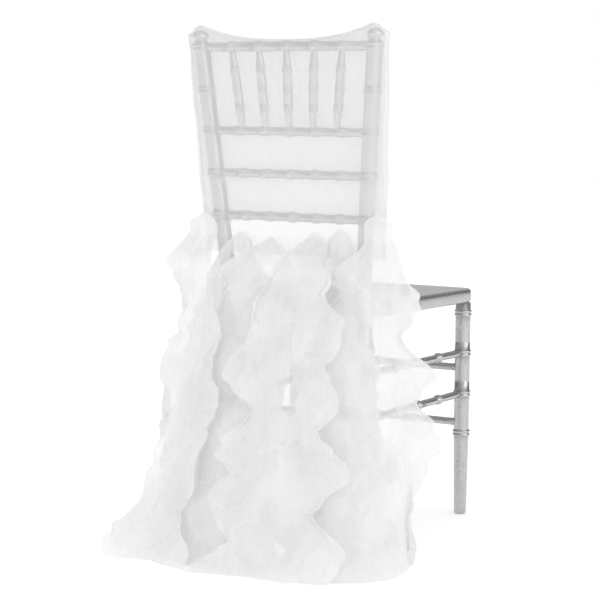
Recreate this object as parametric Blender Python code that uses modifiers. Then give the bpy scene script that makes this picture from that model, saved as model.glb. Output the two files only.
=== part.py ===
"""A sheer chair back cover with curled flounces, fitted over a plain ballroom chair.

The chair faces +Y and the cover's flounced back faces -Y. The cover is a flat sleeve of
two organza panels over the chair's back, and six wide wavy flounces that hang from the
lower edge of its back panel to the floor and lie over one another. All sizes are in
metres, with +Z up and the floor at Z = 0. The last function moves everything so that the
origin is under the middle of the whole part.
"""
import math

import bmesh
import bpy
from mathutils import Vector

# Chair: real sizes of a ballroom chair, with half widths measured to the middle of each leg.
CHAIR_HEIGHT = 0.920
SEAT_TOP = 0.439
SEAT_THICKNESS = 0.027
SEAT_FRONT = 0.352
SEAT_REAR = 0.0165
SEAT_OVERHANG = 0.018
HALF_WIDTH_TOP = 0.177
HALF_WIDTH_SEAT = 0.136
HALF_WIDTH_FOOT = 0.185
BACK_RAKE = 0.042
FOOT_RAKE = 0.046
FOOT_BEND = 1.6
FRONT_LEG_X = 0.182
FRONT_LEG_Y = 0.333
POST_RADIUS = 0.0135
FRONT_LEG_RADIUS_TOP = 0.0145
FRONT_LEG_RADIUS_FOOT = 0.0115
BEAD_HEIGHT = 0.0016
BEAD_HALF_LENGTH = 0.005
BEAD_PITCH = 0.0775
FINIAL_RADIUS = 0.0140
FINIAL_HEIGHT = 0.019
NECK_RADIUS = 0.0095
TOP_RAIL_RADIUS = 0.0088
RAIL_RADIUS = 0.0078
STRETCHER_RADIUS = 0.0070
SPINDLE_RADIUS = 0.0080
SPINDLE_END_RADIUS = 0.0056
SPINDLE_PITCH_TOP = 0.0558
SPINDLE_PITCH_LOW = 0.0478
SPINDLE_BEADS = (0.27, 0.50, 0.73)
RAIL_HEIGHTS = (0.8892, 0.7403, 0.6642, 0.5874)
POST_BEADS = (0.8892, 0.8130, 0.7403, 0.6642, 0.5874, 0.357, 0.315, 0.237, 0.159)
FRONT_LEG_BEADS = (0.392, 0.3149, 0.2359, 0.159)
SIDE_STRETCHER_HEIGHTS = (0.3149, 0.2359)
FRONT_STRETCHER_HEIGHTS = (0.2853, 0.1786)
REAR_STRETCHER_HEIGHTS = (0.357, 0.237)
GAP = 0.0004
COPE_CLEARANCE = 0.0009

# Cover: sheet thickness, and the sleeve round the posts.
CLOTH = 0.0012
SLEEVE_CLEARANCE = 0.0024
SLEEVE_HALF_WIDTH_TOP = 0.204
SLEEVE_HALF_WIDTH_LOW = 0.187
SLEEVE_LOW = 0.560
SLEEVE_TOP_MIDDLE = 0.9022
SLEEVE_TOP_FINIAL = 0.9285
SLEEVE_TOP_CORNER = 0.9130
SLEEVE_TOP_CURVE = 2.6
SLEEVE_CLOSING = 0.019
SEAM_GAP = 0.0010
# Where the sleeve's sheets have their columns, from middle to seam, and their rows, from the top.
SLEEVE_COLUMNS = (0, 0.2, 0.4, 0.54, 0.63, 0.70, 0.76, 0.82, 0.88, 0.94, 1)
SLEEVE_ROWS = (0, 0.006, 0.018, 0.036, 0.062, 0.12, 0.24, 0.37, 0.52, 0.68, 0.84, 1)
BACK_PANEL_HEM = 0.520
FRONT_HEM_SIDE = 0.568
FRONT_HEM_RISE = 0.014

# The fall: the surface that the flounces follow, from the sleeve's back hem to the floor.
FALL_TOP = 0.558
FALL_FOOT = 0.0009
FALL_LAP = 0.0030
FALL_FLARE = 1.22
FALL_SIDE_REACH = 0.20
FALL_LEFT_WAY = (1.0, 0.10)
FALL_RIGHT_WAY = (0.90, 0.43)

# Where the fall meets the floor, from the cover's left edge to its right.
HEM = (
    # across, x, y
    (-1.00, -0.225, -0.240),
    (-0.62, -0.130, -0.220),
    (-0.30, -0.030, -0.245),
    (0.00, 0.058, -0.235),
    (0.30, 0.140, -0.226),
    (0.60, 0.206, -0.208),
    (0.85, 0.250, -0.155),
    (1.00, 0.252, -0.080),
)

# The scalloped outer edges of the first and the last flounce, down the fall.
EDGES = (
    # fall, left edge, right edge; both across
    (0.00, -1.08, 1.10),
    (0.09, -1.15, 1.17),
    (0.18, -0.92, 1.27),
    (0.27, -0.93, 1.20),
    (0.39, -0.94, 1.39),
    (0.48, -0.92, 1.25),
    (0.57, -0.84, 1.39),
    (0.70, -0.80, 1.26),
    (0.83, -0.88, 1.18),
    (0.93, -1.00, 1.05),
    (1.00, -1.04, 0.88),
)

# Flounces, from left to right: where the head and the middle line are, across; how far the
# left and the right wing reach (0 where EDGES gives it, less the tuck); which of three layers
# it hangs in, with 0 nearest the chair.
FLOUNCES = (
    # head, middle, left, right, tuck, layer, waves, phase, head rise, lift of right corner
    (-0.90, -0.62, 0.00, 0.27, 0.00, 2, 4.3, 0.10, 0.034, 0.000),
    (-0.51, -0.46, 0.00, 0.38, 0.04, 0, 4.8, 0.55, 0.002, 0.000),
    (-0.17, -0.22, 0.44, 0.39, 0.00, 1, 4.5, 0.30, -0.006, 0.000),
    (0.32, 0.14, 0.38, 0.44, 0.00, 2, 4.9, 0.80, 0.006, 0.000),
    (0.57, 0.44, 0.38, 0.42, 0.00, 0, 4.4, 0.20, 0.013, 0.000),
    (0.96, 0.74, 0.42, 0.00, 0.00, 1, 4.7, 0.62, 0.044, 0.016),
)
HEAD_REACH = 0.13
HEAD_DEPTH = 0.0035
HEAD_PUFF = 0.006
HEAD_DROP = 0.020
WING_SCALLOP = 0.15
LAYER_FIRST = 0.0120
LAYER_STEP = 0.0215
WAVE_MIDDLE = 0.0020
WAVE_EDGE = 0.0065
FLOUNCE_STATIONS = 8
FLOUNCE_STEPS = 30

SILVER = (0.46, 0.46, 0.47, 1.0)
ORGANZA = (0.92, 0.92, 0.93, 1.0)


def clear_scene():
    for old in list(bpy.data.objects):
        bpy.data.objects.remove(old, do_unlink=True)


def new_collection(name, hidden=False):
    collection = bpy.data.collections.new(name)
    collection.hide_render = hidden
    bpy.context.scene.collection.children.link(collection)
    return collection


def new_material(name, colour, metallic, roughness):
    material = bpy.data.materials.new(name)
    material.use_nodes = True
    shader = material.node_tree.nodes["Principled BSDF"]
    shader.inputs["Base Color"].default_value = colour
    shader.inputs["Metallic"].default_value = metallic
    shader.inputs["Roughness"].default_value = roughness
    return material


def mix(a, b, share):
    return a + (b - a) * share


def smooth(share):
    share = min(1.0, max(0.0, share))
    return share * share * (3 - 2 * share)


# The chair

def post_centre(side, z):
    """Middle of a rear post at a height: raked back above the seat, splayed below it."""
    if z >= SEAT_TOP:
        share = (z - SEAT_TOP) / (CHAIR_HEIGHT - SEAT_TOP)
        return Vector((side * mix(HALF_WIDTH_SEAT, HALF_WIDTH_TOP, share), -BACK_RAKE * share, z))
    share = (SEAT_TOP - z) / SEAT_TOP
    x = side * mix(HALF_WIDTH_SEAT, HALF_WIDTH_FOOT, share)
    return Vector((x, -FOOT_RAKE * share**FOOT_BEND, z))


def beaded(stations, beads, half_length=BEAD_HALF_LENGTH):
    """Adds three stations for each bead to (place, is crest) pairs, and sorts them."""
    places = [(place, False) for place in stations]
    for bead in beads:
        places = [p for p in places if abs(p[0] - bead) > half_length * 1.2]
        places += [(bead - half_length, False), (bead, True), (bead + half_length, False)]
    return sorted(places)


def turned(name, collection, material, centres, radii):
    """A turned member: a poly curve through its centres, as thick as its radii."""
    curve = bpy.data.curves.new(name, "CURVE")
    curve.dimensions = "3D"
    curve.bevel_depth = 1.0
    curve.bevel_resolution = 2
    curve.use_fill_caps = True
    spline = curve.splines.new("POLY")
    spline.points.add(len(centres) - 1)
    for point, centre, radius in zip(spline.points, centres, radii):
        point.co = (*centre, 1.0)
        point.radius = radius
    obj = bpy.data.objects.new(name, curve)
    obj.data.materials.append(material)
    collection.objects.link(obj)
    return meshed(obj)


def meshed(obj):
    """The curve's evaluated mesh with its caps welded, as an object of the same name."""
    bpy.context.view_layer.update()
    graph = bpy.context.evaluated_depsgraph_get()
    mesh = bpy.data.meshes.new_from_object(obj.evaluated_get(graph))
    bm = bmesh.new()
    bm.from_mesh(mesh)
    bmesh.ops.remove_doubles(bm, verts=bm.verts, dist=1e-6)
    bmesh.ops.recalc_face_normals(bm, faces=bm.faces)
    bm.to_mesh(mesh)
    bm.free()
    name, collection, placed = obj.name, obj.users_collection[0], obj.matrix_world.copy()
    bpy.data.objects.remove(obj)
    made = bpy.data.objects.new(name, mesh)
    made.matrix_world = placed
    collection.objects.link(made)
    mesh.shade_smooth()
    return made


def cope(member, cutters, centre, along, radius):
    """Cuts a member's end to the round of the post or rail that it meets."""
    bm = bmesh.new()
    bmesh.ops.create_cone(
        bm, cap_ends=True, segments=16, radius1=radius, radius2=radius, depth=8 * radius
    )
    mesh = bpy.data.meshes.new(member.name + "_cope")
    bm.to_mesh(mesh)
    bm.free()
    cutter = bpy.data.objects.new(mesh.name, mesh)
    cutter.location = centre
    cutter.rotation_mode = "QUATERNION"
    cutter.rotation_quaternion = Vector(along).to_track_quat("Z", "Y")
    cutter.hide_render = True
    cutter.display_type = "WIRE"
    cutters.objects.link(cutter)
    modifier = member.modifiers.new("cope", "BOOLEAN")
    modifier.operation = "DIFFERENCE"
    modifier.object = cutter


def build_posts(parts, material):
    for side, label in ((-1, "left"), (1, "right")):
        finial_foot = CHAIR_HEIGHT - FINIAL_HEIGHT
        plain = [0.0, 0.06, 0.11, 0.20, 0.275, 0.40, SEAT_TOP, 0.50, 0.63, 0.70, 0.77, 0.85]
        places = beaded(plain, POST_BEADS)
        centres = [post_centre(side, z) for z, _ in places]
        radii = [POST_RADIUS + (BEAD_HEIGHT if crest else 0.0) for _, crest in places]
        # The foot's end is upright, so that it stands flat on the floor.
        centres.insert(1, centres[0] + Vector((0, 0, 0.008)))
        radii.insert(1, POST_RADIUS)
        radii[0] = POST_RADIUS * 0.92
        for rise, radius in (
            (-0.0015, NECK_RADIUS),
            (0.0030, FINIAL_RADIUS * 0.86),
            (0.0085, FINIAL_RADIUS),
            (0.0140, FINIAL_RADIUS * 0.80),
            (FINIAL_HEIGHT, FINIAL_RADIUS * 0.28),
        ):
            centres.append(post_centre(side, finial_foot + rise))
            radii.append(radius)
        turned(f"post_{label}", parts, material, centres, radii)


def build_front_legs(parts, material):
    top = SEAT_TOP - SEAT_THICKNESS - GAP
    for side, label in ((-1, "left"), (1, "right")):
        places = beaded([0.0, 0.006, top], FRONT_LEG_BEADS)
        centres, radii = [], []
        for z, crest in places:
            share = min(1.0, z / FRONT_LEG_BEADS[-1])
            radius = mix(FRONT_LEG_RADIUS_FOOT, FRONT_LEG_RADIUS_TOP, share)
            centres.append(Vector((side * FRONT_LEG_X, FRONT_LEG_Y, z)))
            radii.append(radius + (BEAD_HEIGHT if crest else 0.0))
        radii[0] -= 0.0015
        turned(f"front_leg_{label}", parts, material, centres, radii)


def straight_member(name, parts, material, ends, radius, beads):
    """A straight rail or stretcher between two points, with beads at the given lengths."""
    start, end = Vector(ends[0]), Vector(ends[1])
    length = (end - start).length
    places = beaded([0.0, length], beads)
    centres = [start.lerp(end, place / length) for place, _ in places]
    radii = [radius + (BEAD_HEIGHT * 0.8 if crest else 0.0) for _, crest in places]
    return turned(name, parts, material, centres, radii)


def build_rails(parts, cutters, material):
    for number, z in enumerate(RAIL_HEIGHTS, 1):
        radius = TOP_RAIL_RADIUS if number == 1 else RAIL_RADIUS
        left, right = post_centre(-1, z), post_centre(1, z)
        span = (right - left).length
        pitch = mix(SPINDLE_PITCH_LOW, SPINDLE_PITCH_TOP, smooth((z - 0.58) / 0.31))
        beads = [span / 2 + step * pitch for step in range(-2, 3)]
        rail = straight_member(f"rail_{number}", parts, material, (left, right), radius, beads)
        for side, centre in ((-1, left), (1, right)):
            along = post_centre(side, z + 0.01) - post_centre(side, z - 0.01)
            cope(rail, cutters, centre, along, POST_RADIUS + BEAD_HEIGHT + COPE_CLEARANCE)


def build_spindles(parts, cutters, material):
    high, low = RAIL_HEIGHTS[0], RAIL_HEIGHTS[1]
    for number, step in enumerate(range(-2, 3), 1):
        top = Vector((step * SPINDLE_PITCH_TOP, post_centre(1, high).y, high))
        foot = Vector((step * SPINDLE_PITCH_LOW, post_centre(1, low).y, low))
        length = (top - foot).length
        beads = [length * (1 - share) for share in SPINDLE_BEADS]
        places = beaded([0.0, length], beads, 0.0045)
        centres, radii = [], []
        for place, crest in places:
            waist = min(1.0, min(place, length - place) / (length * SPINDLE_BEADS[0]))
            radius = mix(SPINDLE_END_RADIUS, SPINDLE_RADIUS, waist)
            centres.append(foot.lerp(top, place / length))
            radii.append(radius + (BEAD_HEIGHT * 0.8 if crest else 0.0))
        spindle = turned(f"spindle_{number}", parts, material, centres, radii)
        for centre, radius in ((top, TOP_RAIL_RADIUS), (foot, RAIL_RADIUS)):
            cope(spindle, cutters, centre, (1, 0, 0), radius + BEAD_HEIGHT * 0.8 + COPE_CLEARANCE)


def build_stretchers(parts, cutters, material):
    post_reach = POST_RADIUS + BEAD_HEIGHT + COPE_CLEARANCE
    leg_reach = FRONT_LEG_RADIUS_TOP + BEAD_HEIGHT + COPE_CLEARANCE
    runs = []
    for level, z in zip(("upper", "lower"), SIDE_STRETCHER_HEIGHTS):
        for side, label in ((-1, "left"), (1, "right")):
            front = Vector((side * FRONT_LEG_X, FRONT_LEG_Y, z))
            runs.append((f"side_stretcher_{level}_{label}", front, post_centre(side, z), post_reach))
    for level, z in zip(("upper", "lower"), FRONT_STRETCHER_HEIGHTS):
        ends = [Vector((side * FRONT_LEG_X, FRONT_LEG_Y, z)) for side in (1, -1)]
        runs.append((f"front_stretcher_{level}", *ends, leg_reach))
    for level, z in zip(("upper", "lower"), REAR_STRETCHER_HEIGHTS):
        runs.append((f"rear_stretcher_{level}", post_centre(1, z), post_centre(-1, z), post_reach))
    for name, start, end, end_reach in runs:
        length = (end - start).length
        count = int(length / BEAD_PITCH) - 1
        beads = [length / 2 + (step - (count - 1) / 2) * BEAD_PITCH for step in range(count)]
        member = straight_member(name, parts, material, (start, end), STRETCHER_RADIUS, beads)
        start_reach = post_reach if name.startswith("rear") else leg_reach
        for centre, reach in ((start, start_reach), (end, end_reach)):
            cope(member, cutters, centre, (0, 0, 1), reach)


def rounded_outline(corners, arc_points=4):
    """Points of a polygon whose corners, each (x, y, radius), are rounded."""
    points = []
    for index, (x, y, radius) in enumerate(corners):
        here = Vector((x, y))
        before = (Vector(corners[index - 1][:2]) - here).normalized()
        after = (Vector(corners[(index + 1) % len(corners)][:2]) - here).normalized()
        half = before.angle(after) / 2
        start, end = here + before * radius / math.tan(half), here + after * radius / math.tan(half)
        centre = here + (before + after).normalized() * radius / math.sin(half)
        for step in range(arc_points):
            spoke = (start - centre).lerp(end - centre, step / (arc_points - 1))
            points.append(centre + spoke.normalized() * radius)
    return points


def build_seat(parts, material):
    front_half, rear_half = FRONT_LEG_X + SEAT_OVERHANG, HALF_WIDTH_SEAT + SEAT_OVERHANG
    corners = (
        (-front_half, SEAT_FRONT, 0.022),
        (-rear_half, SEAT_REAR, 0.008),
        (rear_half, SEAT_REAR, 0.008),
        (front_half, SEAT_FRONT, 0.022),
    )
    bm = bmesh.new()
    points = rounded_outline(corners)
    face = bm.faces.new([bm.verts.new((p.x, p.y, SEAT_TOP - SEAT_THICKNESS)) for p in points])
    bmesh.ops.extrude_face_region(bm, geom=[face])
    for vert in bm.verts[len(points):]:
        vert.co.z = SEAT_TOP
    bmesh.ops.recalc_face_normals(bm, faces=bm.faces)
    mesh = bpy.data.meshes.new("seat")
    bm.to_mesh(mesh)
    bm.free()
    seat = bpy.data.objects.new("seat", mesh)
    mesh.materials.append(material)
    parts.objects.link(seat)
    bevel = seat.modifiers.new("rounded_edges", "BEVEL")
    bevel.width = 0.005
    bevel.segments = 2
    bevel.limit_method = "ANGLE"


# The cover

def table_at(table, column, across):
    """A value between a table's rows, on a smooth curve through them."""
    last = len(table) - 1
    row = max(i for i in range(last) if table[i][0] <= across or i == 0)
    before, here = table[max(0, row - 1)], table[row]
    there, after = table[row + 1], table[min(last, row + 2)]
    span = there[0] - here[0]
    share = (across - here[0]) / span
    slope_here = (there[column] - before[column]) / (there[0] - before[0]) * span
    slope_there = (after[column] - here[column]) / (after[0] - here[0]) * span
    cube, square = share**3, share**2
    return (
        (2 * cube - 3 * square + 1) * here[column]
        + (cube - 2 * square + share) * slope_here
        + (3 * square - 2 * cube) * there[column]
        + (cube - square) * slope_there
    )


def sleeve_half_width(z):
    share = (z - SLEEVE_LOW) / (SLEEVE_TOP_FINIAL - SLEEVE_LOW)
    return mix(SLEEVE_HALF_WIDTH_LOW, SLEEVE_HALF_WIDTH_TOP, share)


def sleeve_top(x):
    """Height of the sleeve's top edge: it dips between the finials, to lie on the top rail."""
    finial = HALF_WIDTH_TOP - 0.004
    if abs(x) <= finial:
        share = (abs(x) / finial) ** SLEEVE_TOP_CURVE
        return mix(SLEEVE_TOP_MIDDLE, SLEEVE_TOP_FINIAL, share)
    share = (abs(x) - finial) / (SLEEVE_HALF_WIDTH_TOP - finial)
    return mix(SLEEVE_TOP_FINIAL, SLEEVE_TOP_CORNER, smooth(share))


def sleeve_depth(x, z):
    """How far the sleeve's panels stand from its middle plane, round the posts and to the seams."""
    reach = POST_RADIUS + BEAD_HEIGHT + SLEEVE_CLEARANCE
    outward = abs(x) - abs(post_centre(1, z).x)
    to_seam = sleeve_half_width(z) - abs(post_centre(1, z).x)
    touch = reach * reach / to_seam
    if outward <= 0:
        depth = reach
    elif outward < touch:
        depth = math.sqrt(reach * reach - outward * outward)
    else:
        depth = max(0.0, to_seam - outward) * reach / math.sqrt(to_seam**2 - reach**2)
    closing = min(1.0, max(0.0, (sleeve_top(x) - z) / SLEEVE_CLOSING))
    return depth * math.sqrt(1 - (1 - closing) ** 2)


def sleeve_point(across, down, facing, hem):
    """A point of the sleeve's front (facing 1) or back (facing -1) panel."""
    x = across * SLEEVE_HALF_WIDTH_TOP
    z = mix(sleeve_top(x), hem, down)
    x = across * sleeve_half_width(z)
    y = post_centre(1, z).y + facing * (sleeve_depth(x, z) + SEAM_GAP)
    return Vector((x, y, z))


def front_hem(across):
    return FRONT_HEM_SIDE + FRONT_HEM_RISE * (1 - abs(across) ** 2.2)


def fall_share(z):
    """0 at the heads of the flounces and above, and 1 at the floor."""
    return min(1.0, max(0.0, (FALL_TOP - z) / (FALL_TOP - FALL_FOOT)))


def fall_point(across, z):
    """A point of the fall. Past its edges, at -1 and 1, it runs straight on."""
    inside = min(1.0, max(-1.0, across))
    start = post_centre(1, max(z, FALL_TOP)).y - POST_RADIUS - BEAD_HEIGHT
    start -= SLEEVE_CLEARANCE + FALL_LAP
    share = fall_share(z)
    x = mix(inside * sleeve_half_width(FALL_TOP), table_at(HEM, 1, inside), share)
    y = mix(start, table_at(HEM, 2, inside), share**FALL_FLARE)
    way = Vector(FALL_LEFT_WAY if across < 0 else FALL_RIGHT_WAY)
    beyond = way * (across - inside) * FALL_SIDE_REACH
    return Vector((x + beyond.x, y + beyond.y, z))


def flounce_point(row, out, down):
    """A point of a flounce: out runs from -1 to 1 across it, and down from its head to its hem."""
    head, middle, left, right, tuck, layer, waves, phase, rise, lift = row
    top = FALL_TOP + rise - HEAD_DROP * abs(out) ** 1.6
    z = mix(top, FALL_FOOT + lift * max(0.0, out) ** 2, down)
    share = fall_share(z)
    turn = math.tau * (waves * share + phase)
    line = mix(head, middle, smooth(share / 0.35))
    opening = smooth(share / 0.15)
    # Rounded lobes, with a narrow notch between each and the next.
    lobe = 2 * abs(math.sin(0.5 * turn + 0.9 * math.copysign(1, out))) ** 0.8 - 1
    scallop = 1 + WING_SCALLOP * lobe
    reach, edge = (left, table_at(EDGES, 1, share)) if out < 0 else (right, table_at(EDGES, 2, share))
    if reach:
        wing = mix(HEAD_REACH, reach * scallop, opening)
    else:
        wing = mix(HEAD_REACH, abs(edge - line) - tuck, smooth(share / 0.30) if tuck else 1)
    across = line + out * wing
    settled = smooth(share / 0.10)
    depth = mix(HEAD_DEPTH, LAYER_FIRST + layer * LAYER_STEP, settled)
    depth += HEAD_PUFF * (1 - out**2) * (1 - settled) * smooth((top - z) / 0.02)
    swing = WAVE_MIDDLE + WAVE_EDGE * abs(out)
    depth += swing * opening * math.sin(turn + (2.1 if out < 0 else 0.4) * abs(out))
    ahead = fall_point(across + 0.15, z) - fall_point(across - 0.15, z)
    behind = Vector((ahead.y, -ahead.x, 0)).normalized()
    return fall_point(across, z) + behind * depth


def evenly(steps, start=0.0, end=1.0):
    return [mix(start, end, step / steps) for step in range(steps + 1)]


def sheet(name, parts, material, columns, rows, place, thickness=CLOTH):
    """A thin cloth: a grid, each point placed by a function of its column's and row's value."""
    across, down = len(columns) - 1, len(rows) - 1
    bm = bmesh.new()
    bmesh.ops.create_grid(bm, x_segments=across, y_segments=down, size=0.5)
    for vert in bm.verts:
        column = columns[round((vert.co.x + 0.5) * across)]
        row = rows[round((0.5 - vert.co.y) * down)]
        vert.co = place(column, row)
    mesh = bpy.data.meshes.new(name)
    bm.to_mesh(mesh)
    bm.free()
    mesh.shade_smooth()
    cloth = bpy.data.objects.new(name, mesh)
    mesh.materials.append(material)
    parts.objects.link(cloth)
    solidify = cloth.modifiers.new("thickness", "SOLIDIFY")
    solidify.thickness = thickness
    solidify.offset = 0.0
    solidify.use_even_offset = True


def build_cover(parts, material):
    def back_panel(across, down):
        return sleeve_point(across, down, -1, BACK_PANEL_HEM)

    def front_panel(across, down):
        return sleeve_point(across, down, 1, front_hem(across))

    columns = [-across for across in reversed(SLEEVE_COLUMNS[1:])] + list(SLEEVE_COLUMNS)
    sheet("sleeve_back_panel", parts, material, columns, SLEEVE_ROWS, back_panel)
    sheet("sleeve_front_panel", parts, material, columns, SLEEVE_ROWS, front_panel)
    stations, steps = evenly(FLOUNCE_STATIONS, -1.0, 1.0), evenly(FLOUNCE_STEPS)
    for number, row in enumerate(FLOUNCES, 1):
        def flounce(out, down, row=row):
            return flounce_point(row, out, down)

        sheet(f"flounce_{number}", parts, material, stations, steps, flounce)


def settle_origin(parts):
    """Parents every piece to an empty, moved so that the origin is under the part's middle."""
    bpy.context.view_layer.update()
    graph = bpy.context.evaluated_depsgraph_get()
    low, high = Vector((1e9,) * 3), Vector((-1e9,) * 3)
    for obj in parts.objects:
        for corner in obj.evaluated_get(graph).bound_box:
            place = obj.matrix_world @ Vector(corner)
            low = Vector(map(min, low, place))
            high = Vector(map(max, high, place))
    centre = bpy.data.objects.new("floor_centre", None)
    bpy.context.scene.collection.objects.link(centre)
    for obj in bpy.data.objects:
        if obj is not centre:
            obj.parent = centre
    centre.location = (-(low.x + high.x) / 2, -(low.y + high.y) / 2, -low.z)


def main():
    clear_scene()
    parts = new_collection("chair_back_cover")
    cutters = new_collection("cutters", hidden=True)
    silver = new_material("silver_paint", SILVER, 0.7, 0.38)
    organza = new_material("white_organza", ORGANZA, 0.0, 0.6)
    build_seat(parts, silver)
    build_posts(parts, silver)
    build_front_legs(parts, silver)
    build_rails(parts, cutters, silver)
    build_spindles(parts, cutters, silver)
    build_stretchers(parts, cutters, silver)
    build_cover(parts, organza)
    settle_origin(parts)


main()
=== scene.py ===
import math

import bmesh
import bpy
from mathutils import Matrix, Vector, noise


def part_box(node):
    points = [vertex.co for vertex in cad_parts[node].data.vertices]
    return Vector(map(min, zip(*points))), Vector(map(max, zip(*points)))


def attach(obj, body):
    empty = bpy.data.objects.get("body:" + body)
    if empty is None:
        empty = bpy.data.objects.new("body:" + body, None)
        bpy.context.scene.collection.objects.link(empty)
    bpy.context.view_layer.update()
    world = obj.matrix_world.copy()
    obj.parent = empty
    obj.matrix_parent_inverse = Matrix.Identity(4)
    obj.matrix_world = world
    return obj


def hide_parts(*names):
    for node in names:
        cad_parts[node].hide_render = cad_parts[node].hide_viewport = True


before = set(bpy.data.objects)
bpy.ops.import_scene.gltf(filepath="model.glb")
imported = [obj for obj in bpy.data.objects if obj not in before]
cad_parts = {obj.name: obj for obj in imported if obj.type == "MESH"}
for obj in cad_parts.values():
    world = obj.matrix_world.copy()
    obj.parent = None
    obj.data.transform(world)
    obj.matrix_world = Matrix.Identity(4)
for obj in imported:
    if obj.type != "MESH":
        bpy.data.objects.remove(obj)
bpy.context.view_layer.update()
scene = bpy.context.scene

# Sizes are in metres, and heights are above the floor. The chair faces +Y, so the cover's
# flounced back faces -Y. Places are given from the chair's middle line and its rear posts at
# seat level, and originShift moves them to the frame's origin, under the whole part's middle.
chair = {
    "height": 0.920,
    "seatTop": 0.439,
    "seatMiddleY": 0.18425,
    "halfWidthTop": 0.177,
    "halfWidthSeat": 0.136,
    "halfWidthFoot": 0.185,
    "backRake": 0.042,
    "footRake": 0.046,
    "footBend": 1.6,
    "frontLegX": 0.182,
    "frontLegY": 0.333,
}
seatLow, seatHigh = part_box("seat")
seatCentre = (seatLow + seatHigh) / 2
originShift = Vector((seatCentre.x, seatCentre.y - chair["seatMiddleY"], 0))


def mix(a, b, share):
    return a + (b - a) * share


def smooth(share):
    share = min(1.0, max(0.0, share))
    return share * share * (3 - 2 * share)


def evenly(steps, start=0.0, end=1.0):
    return [mix(start, end, step / steps) for step in range(steps + 1)]


def postCentre(side, z):
    # raked back above the seat, splayed out and back below it
    if z >= chair["seatTop"]:
        share = (z - chair["seatTop"]) / (chair["height"] - chair["seatTop"])
        x = mix(chair["halfWidthSeat"], chair["halfWidthTop"], share)
        return Vector((side * x, -chair["backRake"] * share, z))
    share = (chair["seatTop"] - z) / chair["seatTop"]
    x = mix(chair["halfWidthSeat"], chair["halfWidthFoot"], share)
    return Vector((side * x, -chair["footRake"] * share ** chair["footBend"], z))


print("camera and light")

camera = {
    "place": (1.5694, -2.7977, 0.7987),
    "turn": 29.15,
    "tilt": -6.43,
    "roll": 0.35,
    "lens": 107.3,
}
lens = bpy.data.cameras.new("camera")
lens.lens = camera["lens"]
lens.sensor_width = 36
viewer = bpy.data.objects.new("camera", lens)
viewer.matrix_world = (
    Matrix.Translation(Vector(camera["place"]) + originShift)
    @ Matrix.Rotation(math.radians(camera["turn"]), 4, "Z")
    @ Matrix.Rotation(math.radians(90 + camera["tilt"]), 4, "X")
    @ Matrix.Rotation(math.radians(camera["roll"]), 4, "Z")
)
scene.collection.objects.link(viewer)
scene.camera = viewer


def srgb(hexColour):
    channels = [int(hexColour[i : i + 2], 16) / 255 for i in (1, 3, 5)]
    linear = [c / 12.92 if c <= 0.04045 else ((c + 0.055) / 1.055) ** 2.4 for c in channels]
    return (*linear, 1.0)


def emptyTree(owner):
    owner.use_nodes = True
    owner.node_tree.nodes.clear()
    return owner.node_tree


def addNode(tree, kind, settings=None, **sockets):
    # a socket's value is a number, a colour or another node's output; spaces are underscores
    node = tree.nodes.new(kind)
    for name, value in (settings or {}).items():
        setattr(node, name, value)
    for name, value in sockets.items():
        socket = node.inputs[int(name[1:]) if name[1:].isdigit() else name.replace("_", " ")]
        if isinstance(value, bpy.types.NodeSocket):
            tree.links.new(value, socket)
        else:
            socket.default_value = value
    return node


# A pale studio: white all round for the camera, even light for the cloth, and for gloss a
# dark flag on the left and a soft box on the right. Edges are where a change of level starts
# and ends, as the X or Y of a direction.
studio = {
    "even": 0.945,
    "flag": 0.08,
    "fill": 0.80,
    "flagEdge": (-0.6, 0.5),
    "softBox": 1.5,
    "softBoxEdge": (0.74, 0.92),
    "frontLeft": 0.70,
    "frontRight": 0.10,
    "frontEdge": (-0.5, 0.5),
    "aheadEdge": (0.1, 0.7),
    "keyPower": 3.5,
    "keySize": 1.6,
    "keyPlace": (2.4, -1.2, 2.2),
    "keyAim": (0.0, -0.1, 0.45),
    "floorColour": "#f2f2f2",
    "floorGlow": 0.30,
    "floorSize": 24.0,
    "floorDrop": 0.0005,
    "clothLayers": 64,
}
scene.view_settings.view_transform = "Standard"
scene.cycles.transparent_max_bounces = studio["clothLayers"]

world = bpy.data.worlds.new("studio")
scene.world = world
tree = emptyTree(world)


def change(along, edge, start, end, curve="LINEAR"):
    # a level that goes from start to end between the edge's two places
    return addNode(
        tree, "ShaderNodeMapRange", {"interpolation_type": curve}, Value=along,
        From_Min=edge[0], From_Max=edge[1], To_Min=start, To_Max=end,
    )


towards = addNode(tree, "ShaderNodeTexCoord")
aim = addNode(tree, "ShaderNodeSeparateXYZ", Vector=towards.outputs["Generated"])
across, ahead = aim.outputs["X"], aim.outputs["Y"]
dimmer = change(across, studio["flagEdge"], studio["flag"], studio["fill"])
box = change(across, studio["softBoxEdge"], 0.0, studio["softBox"], "SMOOTHSTEP")
behind = addNode(tree, "ShaderNodeMath", _0=dimmer.outputs[0], _1=box.outputs[0])
front = change(across, studio["frontEdge"], studio["frontLeft"], studio["frontRight"])
facing = change(ahead, studio["aheadEdge"], 0.0, 1.0)
gleam = addNode(
    tree, "ShaderNodeMix", _0=facing.outputs[0], _2=behind.outputs[0], _3=front.outputs[0],
)
glossy = addNode(tree, "ShaderNodeBackground", Color=(1, 1, 1, 1), Strength=gleam.outputs[0])
even = addNode(tree, "ShaderNodeBackground", Color=(1, 1, 1, 1), Strength=studio["even"])
plain = addNode(tree, "ShaderNodeBackground", Color=(1, 1, 1, 1), Strength=1.0)
ray = addNode(tree, "ShaderNodeLightPath")
lit = addNode(
    tree, "ShaderNodeMixShader",
    _0=ray.outputs["Is Glossy Ray"], _1=even.outputs[0], _2=glossy.outputs[0],
)
shown = addNode(
    tree, "ShaderNodeMixShader",
    _0=ray.outputs["Is Camera Ray"], _1=lit.outputs[0], _2=plain.outputs[0],
)
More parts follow.
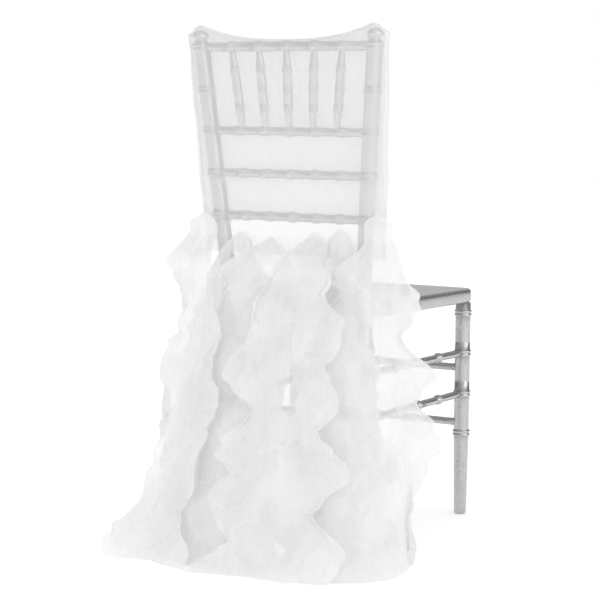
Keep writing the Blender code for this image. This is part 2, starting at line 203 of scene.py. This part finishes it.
addNode(tree, "ShaderNodeOutputWorld", Surface=shown.outputs[0])

lamp = bpy.data.lights.new("key", "AREA")
lamp.energy = studio["keyPower"]
lamp.size = studio["keySize"]
key = bpy.data.objects.new("key", lamp)
beam = Vector(studio["keyAim"]) - Vector(studio["keyPlace"])
key.location = Vector(studio["keyPlace"])
key.rotation_euler = beam.to_track_quat("-Z", "Y").to_euler()
scene.collection.objects.link(key)

bm = bmesh.new()
bmesh.ops.create_grid(bm, x_segments=1, y_segments=1, size=studio["floorSize"] / 2)
floorMesh = bpy.data.meshes.new("floor")
bm.to_mesh(floorMesh)
bm.free()
floor = bpy.data.objects.new("floor", floorMesh)
floor.location.z = -studio["floorDrop"]
scene.collection.objects.link(floor)
paleFloor = bpy.data.materials.new("pale studio floor")
tree = emptyTree(paleFloor)
board = addNode(
    tree, "ShaderNodeBsdfPrincipled",
    Base_Color=srgb(studio["floorColour"]), Roughness=0.9,
    Emission_Color=(1, 1, 1, 1), Emission_Strength=studio["floorGlow"],
)
addNode(tree, "ShaderNodeOutputMaterial", Surface=board.outputs[0])
floorMesh.materials.append(paleFloor)

print("materials")

# Silver paint sprayed on wood: a grey that gleams softly, with a fine flake that glints.
silver = {
    "dark": "#a7a7a7",
    "light": "#cfcfcf",
    # painted shade and dark reflection for the grooves between the turned ridges
    "grooveShadeColour": "#585858",
    "flakeSize": 0.0014,  # real flakes are finer; they are drawn this coarse so that they show
    "patchSize": 0.035,
    "metallic": 0.82,
    "roughness": 0.26,
    "roughnessSpread": 0.06,
    "flakeRange": (0.34, 0.66),
    "grooveShadeRange": (0.49, 0.43),
    "grainStrength": 0.12,
    "grainDepth": 0.0003,
}
silverPaint = bpy.data.materials.new("sprayed silver paint")
tree = emptyTree(silverPaint)
place = addNode(tree, "ShaderNodeTexCoord")
flakes = addNode(
    tree, "ShaderNodeTexNoise",
    Vector=place.outputs["Object"], Scale=1 / silver["flakeSize"], Detail=1.0,
)
patches = addNode(
    tree, "ShaderNodeTexNoise",
    Vector=place.outputs["Object"], Scale=1 / silver["patchSize"], Detail=3.0,
)
tone = addNode(
    tree, "ShaderNodeMapRange", Value=flakes.outputs["Fac"],
    From_Min=silver["flakeRange"][0], From_Max=silver["flakeRange"][1],
)
colour = addNode(
    tree, "ShaderNodeMix", {"data_type": "RGBA"},
    _0=tone.outputs[0], _6=srgb(silver["dark"]), _7=srgb(silver["light"]),
)
# painted shade: the grooves between the turned ridges are drawn dark, for the shade and the dark
# reflections that fall in them
paintedGrooveShade = addNode(
    tree, "ShaderNodeMapRange", Value=addNode(tree, "ShaderNodeNewGeometry").outputs["Pointiness"],
    From_Min=silver["grooveShadeRange"][0], From_Max=silver["grooveShadeRange"][1],
)
shadedPaint = addNode(
    tree, "ShaderNodeMix", {"data_type": "RGBA"},
    _0=paintedGrooveShade.outputs[0], _6=colour.outputs[2], _7=srgb(silver["grooveShadeColour"]),
)
gloss = addNode(
    tree, "ShaderNodeMapRange", Value=patches.outputs["Fac"],
    To_Min=silver["roughness"] - silver["roughnessSpread"],
    To_Max=silver["roughness"] + silver["roughnessSpread"],
)
grain = addNode(
    tree, "ShaderNodeBump", Height=flakes.outputs["Fac"],
    Strength=silver["grainStrength"], Distance=silver["grainDepth"],
)
paint = addNode(
    tree, "ShaderNodeBsdfPrincipled",
    Base_Color=shadedPaint.outputs[2], Metallic=silver["metallic"], Roughness=gloss.outputs[0],
    Normal=grain.outputs[0],
)
addNode(tree, "ShaderNodeOutputMaterial", Surface=paint.outputs[0])

# White organza, a crisp plain weave of fine filaments: sheer and a little milky, matt in the
# shade and bright where it faces the light. Its narrow hems and seams are double, so denser.
organza = {
    "sleeveThread": "#f8f8f8",
    # painted shade: the skirt's thread is drawn a little darker than the sleeve's, though both are
    # the same cloth
    "shadedSkirtThread": "#f4f4f4",
    "sleeveCover": 0.62,
    "skirtCover": 0.82,
    "hemCover": 0.90,
    "sleevePatchiness": 0.01,
    "skirtPatchiness": 0.11,
    "seamWidth": 0.007,
    "hemWidth": 0.0013,
    "hemFade": 0.0008,
    "through": 0.20,
    "mirrored": 0.25,
    "hang": 0.55,
    "crinkleSize": 0.022,
    "crinkleDepth": 0.0012,
    "patchSize": 0.045,
    "foldSize": 0.034,
    "foldBend": 0.040,
}


def organzaCloth(name, thread, hemWidth, cover, patchiness):
    material = bpy.data.materials.new(name)
    tree = emptyTree(material)
    place = addNode(tree, "ShaderNodeUVMap", {"uv_map": "cloth"})
    crinkles = addNode(
        tree, "ShaderNodeTexNoise",
        Vector=place.outputs[0], Scale=1 / organza["crinkleSize"], Detail=4.0, Distortion=0.8,
    )
    creased = addNode(
        tree, "ShaderNodeBump",
        Height=crinkles.outputs["Fac"], Strength=0.5, Distance=organza["crinkleDepth"],
    )
    # where folds bunch the cloth it is denser: soft patches, and facets with crisp edges
    hung = addNode(
        tree, "ShaderNodeMapping", Vector=addNode(tree, "ShaderNodeTexCoord").outputs["Object"],
        Scale=(1.0, 1.0, organza["hang"]),
    )
    patches = addNode(
        tree, "ShaderNodeTexNoise",
        Vector=hung.outputs[0], Scale=1 / organza["patchSize"], Detail=1.5,
    )
    bent = addNode(
        tree, "ShaderNodeVectorMath", {"operation": "MULTIPLY_ADD"},
        _0=patches.outputs["Color"], _1=(organza["foldBend"],) * 3, _2=hung.outputs[0],
    )
    facets = addNode(
        tree, "ShaderNodeTexVoronoi", Vector=bent.outputs[0], Scale=1 / organza["foldSize"],
    )
    soft = addNode(
        tree, "ShaderNodeMapRange", Value=patches.outputs["Fac"], From_Min=0.35, From_Max=0.65,
        To_Min=cover - patchiness, To_Max=cover + patchiness,
    )
    crisp = addNode(
        tree, "ShaderNodeMapRange", Value=facets.outputs["Color"], From_Min=0.25, From_Max=0.75,
        To_Min=-patchiness * 0.6, To_Max=patchiness * 0.6,
    )
    body = addNode(
        tree, "ShaderNodeMath", {"operation": "ADD", "use_clamp": True},
        _0=soft.outputs[0], _1=crisp.outputs[0],
    )
    edge = addNode(tree, "ShaderNodeAttribute", {"attribute_name": "hemDistance"})
    hem = addNode(
        tree, "ShaderNodeMapRange", Value=edge.outputs["Fac"],
        From_Min=hemWidth, From_Max=hemWidth + organza["hemFade"], To_Min=1.0, To_Max=0.0,
    )
    filled = addNode(
        tree, "ShaderNodeMix", _0=hem.outputs[0], _2=body.outputs[0], _3=organza["hemCover"],
    )
    threads = addNode(
        tree, "ShaderNodeBsdfPrincipled",
        Base_Color=srgb(thread), Roughness=0.62, Normal=creased.outputs[0],
        Sheen_Weight=0.15, Sheen_Roughness=0.4,
    )
    glow = addNode(
        tree, "ShaderNodeBsdfTranslucent",
        Color=srgb(thread), Normal=creased.outputs[0],
    )
    cloth = addNode(
        tree, "ShaderNodeMixShader",
        _0=organza["through"], _1=threads.outputs[0], _2=glow.outputs[0],
    )
    gaps = addNode(tree, "ShaderNodeBsdfTransparent", Color=(1, 1, 1, 1))
    # the silver inside mirrors the room past the cloth, or its highlights would all wash out
    mirrored = addNode(
        tree, "ShaderNodeMapRange",
        Value=addNode(tree, "ShaderNodeLightPath").outputs["Is Glossy Ray"],
        To_Min=1.0, To_Max=organza["mirrored"],
    )
    hidden = addNode(
        tree, "ShaderNodeMath", {"operation": "MULTIPLY"},
        _0=filled.outputs[0], _1=mirrored.outputs[0],
    )
    sheer = addNode(
        tree, "ShaderNodeMixShader",
        _0=hidden.outputs[0], _1=gaps.outputs[0], _2=cloth.outputs[0],
    )
    addNode(tree, "ShaderNodeOutputMaterial", Surface=sheer.outputs[0])
    return material


seamedOrganza = organzaCloth(
    "white organza, French seams", organza["sleeveThread"], organza["seamWidth"],
    organza["sleeveCover"], organza["sleevePatchiness"],
)
hemmedOrganza = organzaCloth(
    "white organza, rolled hem", organza["shadedSkirtThread"], organza["hemWidth"],
    organza["skirtCover"], organza["skirtPatchiness"],
)


def finishPiece(name, bm, material, slotName, *nodes):
    mesh = bpy.data.meshes.new(name)
    bm.to_mesh(mesh)
    bm.free()
    mesh.shade_smooth()
    mesh.materials.append(material)
    piece = bpy.data.objects.new(name, mesh)
    scene.collection.objects.link(piece)
    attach(piece, "root")
    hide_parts(*nodes)
    return piece


print("chair")

# Each joint of the turned bamboo pattern is a pair of narrow ridges: offset and rise.
joint = (
    (-0.0058, 0.0),
    (-0.0050, 0.0016),
    (-0.0036, 0.0024),
    (-0.0018, 0.0017),
    (0.0, 0.0001),
    (0.0018, 0.0017),
    (0.0036, 0.0024),
    (0.0050, 0.0016),
    (0.0058, 0.0),
)
turning = {
    "sides": 28,
    "postHalfWidth": 0.0120,
    "postHalfDepth": 0.0138,
    "postSquareness": 3.4,
    "postJoints": (0.8892, 0.8130, 0.7403, 0.6642, 0.5874, 0.357, 0.315, 0.237, 0.159),
    "neckRadius": 0.0098,
    "finialRadius": 0.0140,
    "finialHeight": 0.019,
    "legRadiusTop": 0.0145,
    "legRadiusFoot": 0.0115,
    "legJoints": (0.392, 0.3149, 0.2359, 0.159),
    "topRailRadius": 0.0088,
    "railRadius": 0.0078,
    "railHeights": (0.8892, 0.7403, 0.6642, 0.5874),
    "stretcherRadius": 0.0070,
    "stretcherJointPitch": 0.0775,
    "sideStretchers": (0.3149, 0.2359),
    "frontStretchers": (0.2853, 0.1786),
    "rearStretchers": (0.357, 0.237),
    "spindleRadius": 0.0080,
    "spindleEndRadius": 0.0048,
    "spindlePitchTop": 0.0558,
    "spindlePitchLow": 0.0478,
    "spindleJoints": (0.27, 0.50, 0.73),
}


def jointedProfile(places, joints, radiusAt, size=1.0):
    # (height, radius) pairs up a turned member, with a pair of ridges at each joint
    reach = joint[-1][0] * size * 1.1
    profile = [(p, radiusAt(p)) for p in places if all(abs(p - j) > reach for j in joints)]
    for middle in joints:
        for offset, rise in joint:
            height = middle + offset * size
            profile.append((height, radiusAt(height) + rise * size))
    return sorted(profile)


def turned(name, profile, place, squareness=None, depth=1.0):
    bm = bmesh.new()
    ends = [(profile[0][0], 0.0), *profile, (profile[-1][0], 0.0)]
    verts = [bm.verts.new((radius, 0, height)) for height, radius in ends]
    edges = [bm.edges.new(pair) for pair in zip(verts, verts[1:])]
    bmesh.ops.spin(
        bm, geom=verts + edges, cent=(0, 0, 0), axis=(0, 0, 1), angle=math.tau,
        steps=turning["sides"], use_merge=True,
    )
    bmesh.ops.remove_doubles(bm, verts=bm.verts, dist=1e-6)
    bmesh.ops.recalc_face_normals(bm, faces=bm.faces)
    for vert in bm.verts:
        if squareness:
            spoke = Vector((vert.co.x, vert.co.y))
            if spoke.length > 1e-6:
                power = squareness(vert.co.z)
                side = (abs(spoke.x) ** power + abs(spoke.y) ** power) ** (1 / power)
                spoke *= spoke.length / side
            vert.co.x, vert.co.y = spoke.x, spoke.y * depth
        vert.co = place(vert.co.copy()) + originShift
    return finishPiece(name, bm, silverPaint, "silver_paint", name)


def straight(name, start, end, radius, joints, size=1.0):
    length = (end - start).length
    turn = (end - start).to_track_quat("Z", "Y")
    profile = jointedProfile(evenly(12, 0.0, length), joints, lambda _: radius, size)
    return turned(name, profile, lambda p: start + turn @ p)


def postSquareness(z):
    return mix(turning["postSquareness"], 2.0, smooth((z - 0.897) / 0.006))


finialFoot = chair["height"] - turning["finialHeight"]
finial = (
    (finialFoot - 0.0015, turning["neckRadius"]),
    (finialFoot + 0.0012, turning["neckRadius"] * 1.02),
    (finialFoot + 0.0030, turning["finialRadius"] * 0.84),
    (finialFoot + 0.0055, turning["finialRadius"] * 0.97),
    (finialFoot + 0.0085, turning["finialRadius"]),
    (finialFoot + 0.0120, turning["finialRadius"] * 0.93),
    (finialFoot + 0.0150, turning["finialRadius"] * 0.76),
    (finialFoot + 0.0175, turning["finialRadius"] * 0.48),
    (finialFoot + 0.0190, turning["finialRadius"] * 0.18),
)
for side, label in ((-1, "left"), (1, "right")):
    def alongPost(point, side=side):
        return postCentre(side, point.z) + Vector((point.x, point.y, 0))

    profile = jointedProfile(
        [0.003, *evenly(60, 0.006, finialFoot - 0.006)], turning["postJoints"],
        lambda _: turning["postHalfWidth"],
    )
    profile = [(0.0, turning["postHalfWidth"] - 0.0015), *profile, *finial]
    depth = turning["postHalfDepth"] / turning["postHalfWidth"]
    turned(f"post_{label}", profile, alongPost, postSquareness, depth)

    def legRadius(z):
        share = min(1.0, z / turning["legJoints"][-1])
        return mix(turning["legRadiusFoot"], turning["legRadiusTop"], share)

    legTop = seatLow.z - 0.0004
    leg = Vector((side * chair["frontLegX"], chair["frontLegY"], 0))
    profile = jointedProfile([0.002, *evenly(16, 0.02, legTop)], turning["legJoints"], legRadius)
    profile = [(0.0, turning["legRadiusFoot"] - 0.0015), *profile]
    turned(f"front_leg_{label}", profile, lambda p: leg + p)

for number, z in enumerate(turning["railHeights"], 1):
    pitch = mix(turning["spindlePitchLow"], turning["spindlePitchTop"], smooth((z - 0.58) / 0.31))
    span = postCentre(1, z).x * 2
    radius = turning["topRailRadius"] if number == 1 else turning["railRadius"]
    joints = [span / 2 + step * pitch for step in range(-2, 3)]
    straight(f"rail_{number}", postCentre(-1, z), postCentre(1, z), radius, joints)

high, low = turning["railHeights"][:2]
for number, step in enumerate(range(-2, 3), 1):
    foot = Vector((step * turning["spindlePitchLow"], postCentre(1, low).y, low))
    top = Vector((step * turning["spindlePitchTop"], postCentre(1, high).y, high))
    length = (top - foot).length
    waist = length * turning["spindleJoints"][0]

    def spindleRadius(place):
        share = min(1.0, min(place, length - place) / waist)
        return mix(turning["spindleEndRadius"], turning["spindleRadius"], share)

    joints = [length * (1 - share) for share in turning["spindleJoints"]]
    profile = jointedProfile(evenly(24, 0.0, length), joints, spindleRadius, 0.8)
    turn = (top - foot).to_track_quat("Z", "Y")
    turned(f"spindle_{number}", profile, lambda p: foot + turn @ p)

stretchers = []
for level, z in zip(("upper", "lower"), turning["sideStretchers"]):
    for side, label in ((-1, "left"), (1, "right")):
        leg = Vector((side * chair["frontLegX"], chair["frontLegY"], z))
        stretchers.append((f"side_stretcher_{level}_{label}", leg, postCentre(side, z)))
for level, z in zip(("upper", "lower"), turning["frontStretchers"]):
    legs = [Vector((side * chair["frontLegX"], chair["frontLegY"], z)) for side in (1, -1)]
    stretchers.append((f"front_stretcher_{level}", *legs))
for level, z in zip(("upper", "lower"), turning["rearStretchers"]):
    stretchers.append((f"rear_stretcher_{level}", postCentre(1, z), postCentre(-1, z)))
for name, start, end in stretchers:
    length = (end - start).length
    count = int(length / turning["stretcherJointPitch"]) - 1
    first = length / 2 - (count - 1) / 2 * turning["stretcherJointPitch"]
    joints = [first + step * turning["stretcherJointPitch"] for step in range(count)]
    straight(name, start, end, turning["stretcherRadius"], joints, 0.9)

seat = {
    "thickness": 0.027,
    "front": 0.352,
    "rear": 0.0165,
    "overhang": 0.018,
    "frontCorner": 0.024,
    "rearCorner": 0.008,
    "edgeRadius": 0.007,
    "inset": 0.002,
}
bm = bmesh.new()
wide, narrow = chair["frontLegX"] + seat["overhang"], chair["halfWidthSeat"] + seat["overhang"]
for x, y in ((-wide, "front"), (-narrow, "rear"), (narrow, "rear"), (wide, "front")):
    bm.verts.new((x, seat[y], chair["seatTop"] - seat["thickness"]))
bm.faces.new(bm.verts)
for corner, radius in (("front", "frontCorner"), ("rear", "rearCorner")):
    corners = [v for v in bm.verts if abs(v.co.y - seat[corner]) < 1e-6]
    bmesh.ops.bevel(
        bm, geom=corners, offset=seat[radius], segments=6, profile=0.5, affect="VERTICES",
        material=-1,
    )
raised = bmesh.ops.extrude_face_region(bm, geom=bm.faces[:])["geom"]
raisedVerts = [g for g in raised if isinstance(g, bmesh.types.BMVert)]
bmesh.ops.translate(bm, verts=raisedVerts, vec=(0, 0, seat["thickness"]))
bmesh.ops.recalc_face_normals(bm, faces=bm.faces)
rims = [e for e in bm.edges if abs(e.verts[0].co.z - e.verts[1].co.z) < 1e-6]
bmesh.ops.bevel(
    bm, geom=rims, offset=seat["edgeRadius"], segments=4, profile=0.5, affect="EDGES",
    material=-1,
)
boards = [f for f in bm.faces if abs(f.normal.z) > 0.999]
bmesh.ops.inset_individual(bm, faces=boards, thickness=seat["inset"])
bmesh.ops.translate(bm, verts=bm.verts, vec=originShift)
finishPiece("seatBoard", bm, silverPaint, "silver_paint", "seat")


def clothSheet(name, columns, rows, lineAt, hems, material, *nodes):
    # lineAt gives the points of one row; hems names the edges with a hem or seam
    lines = [lineAt(row) for row in rows]
    middle = len(columns) // 2
    down = [0.0]
    for before, line in zip(lines, lines[1:]):
        down.append(down[-1] + (line[middle] - before[middle]).length)
    bm = bmesh.new()
    across, deep = len(columns) - 1, len(rows) - 1
    bmesh.ops.create_grid(bm, x_segments=across, y_segments=deep, size=0.5)
    hemLayer = bm.verts.layers.float.new("hemDistance")
    clothLayer = bm.loops.layers.uv.new("cloth")
    along = []
    for line in lines:
        run = [0.0]
        for before, point in zip(line, line[1:]):
            run.append(run[-1] + (point - before).length)
        along.append(run)
    cells = {}
    for vert in bm.verts:
        column = round((vert.co.x + 0.5) * across)
        row = round((0.5 - vert.co.y) * deep)
        cells[vert] = column, row
        vert.co = lines[row][column] + originShift
        reach = {
            "left": along[row][column],
            "right": along[row][-1] - along[row][column],
            "top": down[row],
            "bottom": down[-1] - down[row],
        }
        vert[hemLayer] = min(reach[edge] for edge in hems)
    for face in bm.faces:
        for loop in face.loops:
            column, row = cells[loop.vert]
            loop[clothLayer].uv = along[row][column], -down[row]
    area = sum(face.calc_area() for face in bm.faces)
    print(f"  {name}: {area:.4f} square metres, {down[-1]:.3f} long")
    return finishPiece(name, bm, material, "white_organza", *nodes)


print("sleeve")

sleeve = {
    "halfWidthTop": 0.204,
    "halfWidthLow": 0.187,
    "low": 0.560,
    "topMiddle": 0.9022,
    "topFinial": 0.9285,
    "topCorner": 0.9130,
    "topCurve": 2.6,
    "closing": 0.019,
    "reach": 0.0175,
    "seamGap": 0.0004,
    "backHem": 0.520,
    "frontHemSide": 0.568,
    "frontHemRise": 0.014,
    "ripple": 0.0016,
}


def sleeveHalfWidth(z):
    share = (z - sleeve["low"]) / (sleeve["topFinial"] - sleeve["low"])
    edge = 0.0010 * math.sin(z * 41) + 0.0004 * math.sin(z * 97 + 1.0)
    return mix(sleeve["halfWidthLow"], sleeve["halfWidthTop"], share) + edge


def sleeveTop(x):
    # the top edge dips between the finials, to lie on the top rail
    finialX = chair["halfWidthTop"] - 0.004
    if abs(x) <= finialX:
        share = (abs(x) / finialX) ** sleeve["topCurve"]
        return mix(sleeve["topMiddle"], sleeve["topFinial"], share)
    share = (abs(x) - finialX) / (sleeve["halfWidthTop"] - finialX)
    return mix(sleeve["topFinial"], sleeve["topCorner"], smooth(share))


def sleeveDepth(x, z):
    # round the posts, and then straight to the seams
    reach = sleeve["reach"]
    outward = abs(x) - postCentre(1, z).x
    toSeam = sleeveHalfWidth(z) - postCentre(1, z).x
    touch = reach * reach / toSeam
    if outward <= 0:
        depth = reach
    elif outward < touch:
        depth = math.sqrt(reach * reach - outward * outward)
    else:
        depth = max(0.0, toSeam - outward) * reach / math.sqrt(toSeam**2 - reach**2)
    closing = min(1.0, max(0.0, (sleeveTop(x) - z) / sleeve["closing"]))
    return depth * math.sqrt(1 - (1 - closing) ** 2)


def sleevePoint(across, down, facing, hem):
    x = across * sleeve["halfWidthTop"]
    z = mix(sleeveTop(x), hem, down)
    x = across * sleeveHalfWidth(z)
    depth = sleeveDepth(x, z)
    hang = noise.noise(Vector((x * 14, z * 5, facing * 3.7))) + 0.5
    depth += sleeve["ripple"] * hang * smooth(depth / 0.012)
    return Vector((x, postCentre(1, z).y + facing * (depth + sleeve["seamGap"]), z))


def frontHem(across):
    wander = 0.003 * noise.noise(Vector((across * 4, 0.3, 7.1)))
    return sleeve["frontHemSide"] + sleeve["frontHemRise"] * (1 - abs(across) ** 2.2) + wander


def backHem(across):
    return sleeve["backHem"] + 0.002 * noise.noise(Vector((across * 5, 2.3, 1.1)))


sleeveColumns = [math.copysign(abs(a) ** 0.8, a) for a in evenly(110, -1.0, 1.0)]
sleeveRows = [row**1.4 for row in evenly(90)]
for name, facing, hemAt in (("Front", 1, frontHem), ("Back", -1, backHem)):
    def sleeveLine(down, facing=facing, hemAt=hemAt):
        return [sleevePoint(a, down, facing, hemAt(a)) for a in sleeveColumns]

    panel = clothSheet(
        f"sleeve{name}", sleeveColumns, sleeveRows, sleeveLine, ("left", "right", "top"),
        seamedOrganza, f"sleeve_{name.lower()}_panel",
    )

print("flounces")

# The fall is the surface that the flounces follow, from the sleeve's back hem to the floor.
fall = {
    "top": 0.558,
    "foot": 0.0009,
    "lap": 0.0030,
    "flare": 1.22,
    "sideReach": 0.20,
    "leftWay": (1.0, 0.10),
    "rightWay": (0.90, 0.43),
    "headWidth": -0.005,  # how far up from the sleeve's low width to its top width
}
# Where the fall meets the floor, from the cover's left edge to its right.
hemTable = (
    {"across": -1.00, "x": -0.225, "y": -0.240},
    {"across": -0.62, "x": -0.130, "y": -0.220},
    {"across": -0.30, "x": -0.030, "y": -0.245},
    {"across": 0.00, "x": 0.058, "y": -0.235},
    {"across": 0.30, "x": 0.140, "y": -0.226},
    {"across": 0.60, "x": 0.206, "y": -0.208},
    {"across": 0.85, "x": 0.250, "y": -0.155},
    {"across": 1.00, "x": 0.252, "y": -0.080},
)
# The scalloped outer edges of the first and the last flounce, down the fall.
edgeTable = (
    {"across": 0.00, "left": -1.08, "right": 1.10},
    {"across": 0.09, "left": -1.16, "right": 1.21},
    {"across": 0.18, "left": -0.96, "right": 1.31},
    {"across": 0.27, "left": -0.90, "right": 1.23},
    {"across": 0.39, "left": -0.97, "right": 1.43},
    {"across": 0.48, "left": -0.96, "right": 1.35},
    {"across": 0.57, "left": -0.94, "right": 1.52},
    {"across": 0.70, "left": -0.85, "right": 1.27},
    {"across": 0.83, "left": -0.92, "right": 1.18},
    {"across": 0.93, "left": -1.10, "right": 1.17},
    {"across": 1.00, "left": -1.07, "right": 0.97},
)
# The values whose names end in By are shares of the way down at which a change is complete.
flounce = {
    "headReach": 0.13,
    "headDepth": 0.0035,
    "headPuff": 0.006,
    "headDrop": 0.020,
    "scallop": 0.15,
    "firstLayer": 0.0120,
    "layerStep": 0.0215,
    "middleWave": 0.0020,
    "edgeWave": 0.0065,
    "pleats": 2.3,
    "pleatDepth": 0.0020,
    "frillLength": 0.085,
    "frillDepth": 0.0030,
    "frillReach": 0.0040,
    "curl": 0.016,
    "curlFrom": 0.72,
    "curlWidth": 0.28,
    "curlIn": 1.9,
    "curlUp": 0.35,
    "crumple": 0.0035,
    "length": 0.6,
    "leastDepth": 0.0012,
    "bentBy": 0.35,
    "openBy": 0.15,
    "tuckedBy": 0.30,
    "settledBy": 0.10,
    "pleatedBy": 0.03,
    "across": 48,
    "down": 230,
}
# One row each, from left to right. Head and middle are places across, and left and right are
# the wings' reaches, or None where the edge table gives one, less the tuck. Layer is which of
# three layers it hangs in, with 0 nearest the chair. Rise lifts the head, lift raises the hem's
# right corner, and cut is the flat size.
flounceTable = (
    {"head": -0.90, "middle": -0.62, "left": None, "right": 0.27, "layer": 2, "waves": 4.3,
     "phase": 0.10, "tuck": 0.00, "rise": 0.034, "lift": 0.0, "cut": (0.13, 0.6)},
    {"head": -0.51, "middle": -0.42, "left": None, "right": 0.38, "layer": 0, "waves": 4.8,
     "phase": 0.55, "tuck": 0.04, "rise": 0.002, "lift": 0.0, "cut": (0.19, 0.60)},
    {"head": -0.17, "middle": -0.22, "left": 0.44, "right": 0.42, "layer": 1, "waves": 4.5,
     "phase": 0.30, "tuck": 0.00, "rise": -0.006, "lift": 0.0, "cut": (0.21, 0.60)},
    {"head": 0.32, "middle": 0.14, "left": 0.38, "right": 0.44, "layer": 2, "waves": 4.9,
     "phase": 0.80, "tuck": 0.00, "rise": 0.006, "lift": 0.0, "cut": (0.22, 0.6)},
    {"head": 0.57, "middle": 0.48, "left": 0.40, "right": 0.42, "layer": 0, "waves": 4.4,
     "phase": 0.20, "tuck": 0.00, "rise": 0.013, "lift": 0.0, "cut": (0.2, 0.58)},
    {"head": 0.96, "middle": 0.74, "left": 0.42, "right": None, "layer": 1, "waves": 4.7,
     "phase": 0.62, "tuck": 0.00, "rise": 0.044, "lift": 0.016, "cut": (0.22, 0.6)},
)
stations = evenly(flounce["across"], -1.0, 1.0)


def tableAt(table, column, place):
    # a value between the table's rows, on a smooth curve through them
    last = len(table) - 1
    row = max(i for i in range(last) if table[i]["across"] <= place or i == 0)
    before, here = table[max(0, row - 1)], table[row]
    there, after = table[row + 1], table[min(last, row + 2)]
    span = there["across"] - here["across"]
    share = (place - here["across"]) / span
    slopeHere = (there[column] - before[column]) / (there["across"] - before["across"]) * span
    slopeThere = (after[column] - here[column]) / (after["across"] - here["across"]) * span
    cube, square = share**3, share**2
    return (
        (2 * cube - 3 * square + 1) * here[column]
        + (cube - 2 * square + share) * slopeHere
        + (3 * square - 2 * cube) * there[column]
        + (cube - square) * slopeThere
    )


def fallShare(z):
    return min(1.0, max(0.0, (fall["top"] - z) / (fall["top"] - fall["foot"])))


def fallPoint(across, z):
    # past its edges, at -1 and 1, the fall runs straight on
    inside = min(1.0, max(-1.0, across))
    start = postCentre(1, max(z, fall["top"])).y - sleeve["reach"] - fall["lap"]
    share = fallShare(z)
    halfWidth = mix(sleeve["halfWidthLow"], sleeve["halfWidthTop"], fall["headWidth"])
    x = mix(inside * halfWidth, tableAt(hemTable, "x", inside), share)
    y = mix(start, tableAt(hemTable, "y", inside), share ** fall["flare"])
    way = Vector(fall["leftWay"] if across < 0 else fall["rightWay"])
    beyond = way * (across - inside) * fall["sideReach"]
    return Vector((x + beyond.x, y + beyond.y, z))


def fallBehind(across, z):
    ahead = fallPoint(across + 0.15, z) - fallPoint(across - 0.15, z)
    return Vector((ahead.y, -ahead.x, 0)).normalized()


def stray(*place):
    return noise.noise(Vector(place))


def flounceLine(row, down):
    seed = row["head"] * 20
    points = []
    for out in stations:
        top = fall["top"] + row["rise"] - flounce["headDrop"] * abs(out) ** 1.6
        top += 0.004 * stray(out * 1.6, seed, 0.4)
        z = mix(top, fall["foot"] + row["lift"] * max(0.0, out) ** 2, down)
        share = fallShare(z)
        turn = math.tau * (row["waves"] * share + row["phase"])
        line = mix(row["head"], row["middle"], smooth(share / flounce["bentBy"]))
        opening = smooth(share / flounce["openBy"])
        # rounded lobes, with a narrow notch between each and the next
        wander = 0.8 * stray(share * 3.5, math.copysign(4.2, out), seed)
        lobe = 2 * abs(math.sin(0.5 * turn + 0.9 * math.copysign(1, out) + wander)) ** 0.8 - 1
        scallop = 1 + flounce["scallop"] * lobe
        hand = "left" if out < 0 else "right"
        if row[hand]:
            wing = mix(flounce["headReach"], row[hand] * scallop, opening)
        else:
            wing = abs(tableAt(edgeTable, hand, share) - line) - row["tuck"]
            tucked = smooth(share / flounce["tuckedBy"]) if row["tuck"] else 1
            wing = mix(flounce["headReach"], wing, tucked)
        # the free edges frill, and in places they curl back over themselves
        free = abs(out) ** 4 * opening
        side = math.copysign(1.0, out)
        run = share * flounce["length"] / flounce["frillLength"] + 1.4 * stray(share * 9, out, seed)
        frill = math.sin(math.tau * run + side * 1.3)
        curl = smooth(1.4 * stray(share * 6.5, side * 3.1, seed) + 0.35) * opening
        edge = smooth((abs(out) - flounce["curlFrom"]) / flounce["curlWidth"])
        turnedBack = flounce["curl"] * curl * edge
        across = line + out * wing
        settled = smooth(share / flounce["settledBy"])
        layer = flounce["firstLayer"] + row["layer"] * flounce["layerStep"]
        depth = mix(flounce["headDepth"], layer, settled)
        depth += flounce["headPuff"] * (1 - out**2) * (1 - settled) * smooth((top - z) / 0.02)
        swing = flounce["middleWave"] + flounce["edgeWave"] * abs(out)
        depth += swing * opening * math.sin(turn + (2.1 if out < 0 else 0.4) * abs(out))
        pleat = math.sin(math.tau * flounce["pleats"] * out + 6 * stray(share * 9, seed, out * 2))
        pleated = smooth(share / flounce["pleatedBy"]) * (1.15 - 0.8 * settled)
        depth += flounce["pleatDepth"] * pleat * pleated
        crumple = stray(across * 9, z * 14, seed) + 0.5 * stray(across * 21, z * 25, seed)
        depth += flounce["crumple"] * crumple * opening
        depth += flounce["frillDepth"] * frill * free + flounce["curlUp"] * turnedBack
        behind = fallBehind(across, z)
        along = Vector((-behind.y, behind.x, 0))
        inward = flounce["frillReach"] * frill * free - flounce["curlIn"] * turnedBack
        point = fallPoint(across, z) + behind * max(flounce["leastDepth"], depth)
        points.append(point + along * side * inward)
    return points


for number, row in enumerate(flounceTable, 1):
    strip = clothSheet(
        f"flounce{number}", stations, evenly(flounce["down"]),
        lambda down: flounceLine(row, down), ("left", "right", "top", "bottom"),
        hemmedOrganza, f"flounce_{number}",
    )

print("finish")
